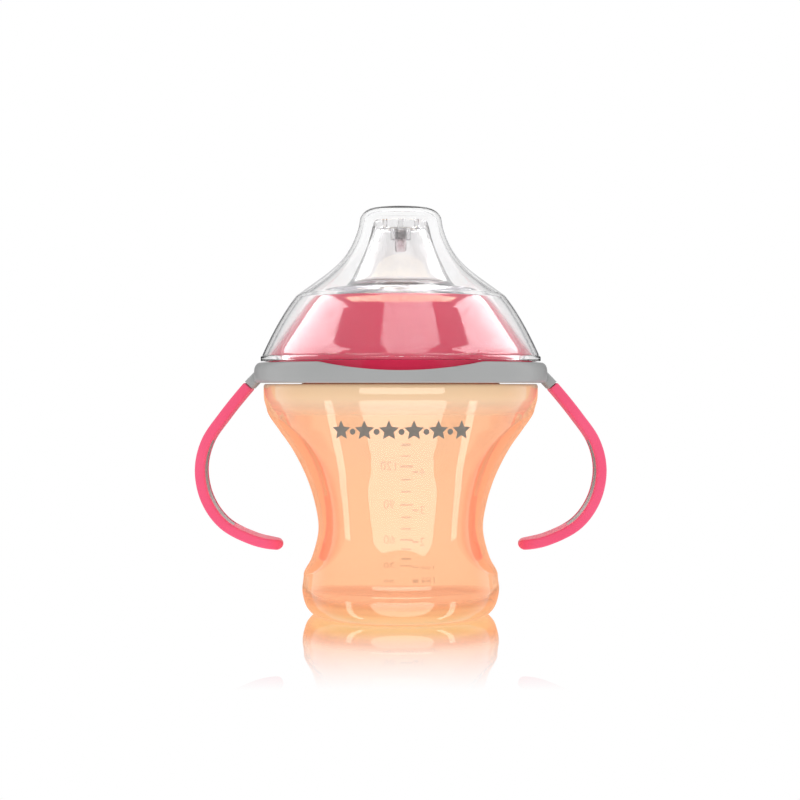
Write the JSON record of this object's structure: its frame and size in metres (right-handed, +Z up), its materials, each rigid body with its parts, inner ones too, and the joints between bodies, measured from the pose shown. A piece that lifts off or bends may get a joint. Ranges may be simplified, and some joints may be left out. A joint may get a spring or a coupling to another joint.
{
  "type": "sippy cup",
  "caption": "Waisted non-spill training cup with soft oval spout under a clear hood, screw cap and a neck ring carrying open handles with soft grips.",
  "frame": {"origin": "centre of the cup's foot on the surface it stands on", "axes": "+Z up along the cup's axis, X through the handles, -Y towards the printed front and the hood's thumb lip"},
  "size_m": [0.1164, 0.0832, 0.1154],
  "materials": {
    "orange_plastic": "clear tinted gloss",
    "grey_plastic": "satin",
    "pink_soft": "satin soft touch",
    "pink_gloss": "gloss",
    "clear_silicone": "clear soft silicone",
    "clear_plastic": "clear gloss"
  },
  "bodies": {
    "cup": {"cup": "orange_plastic"},
    "handles": {"handle_ring": "grey_plastic", "grip_left": "pink_soft", "grip_right": "pink_soft"},
    "spout_set": {"spout": "clear_silicone"},
    "valve": {"spout_valve": "clear_silicone"},
    "cap": {"screw_cap": "pink_gloss"},
    "hood": {"hood": "clear_plastic"}
  },
  "joints": [
    {"name": "handle_turn", "type": "hinge", "parent": "cup", "child": "handles", "pos_m": [0, 0, 0.067], "axis": [0, 0, 1], "continuous": true},
    {"name": "cap_lift", "type": "slide", "parent": "cup", "child": "spout_set", "axis": [0, 0, 1], "range_m": [0, 0.0061]},
    {"name": "cap_turn", "type": "hinge", "parent": "spout_set", "child": "cap", "pos_m": [0, 0, 0.08], "axis": [0, 0, 1], "range_deg": [0, 540]},
    {"name": "hood_pull", "type": "slide", "parent": "cap", "child": "hood", "axis": [0, 0, 1], "range_m": [0, 0.06]},
    {"name": "valve_pull", "type": "slide", "parent": "spout_set", "child": "valve", "axis": [0, 0, -1], "range_m": [0, 0.015]}
  ],
  "couplings": [
    {"joint": "cap_lift", "follows": "cap_turn", "m_per_rad": 0.00063662}
  ]
}
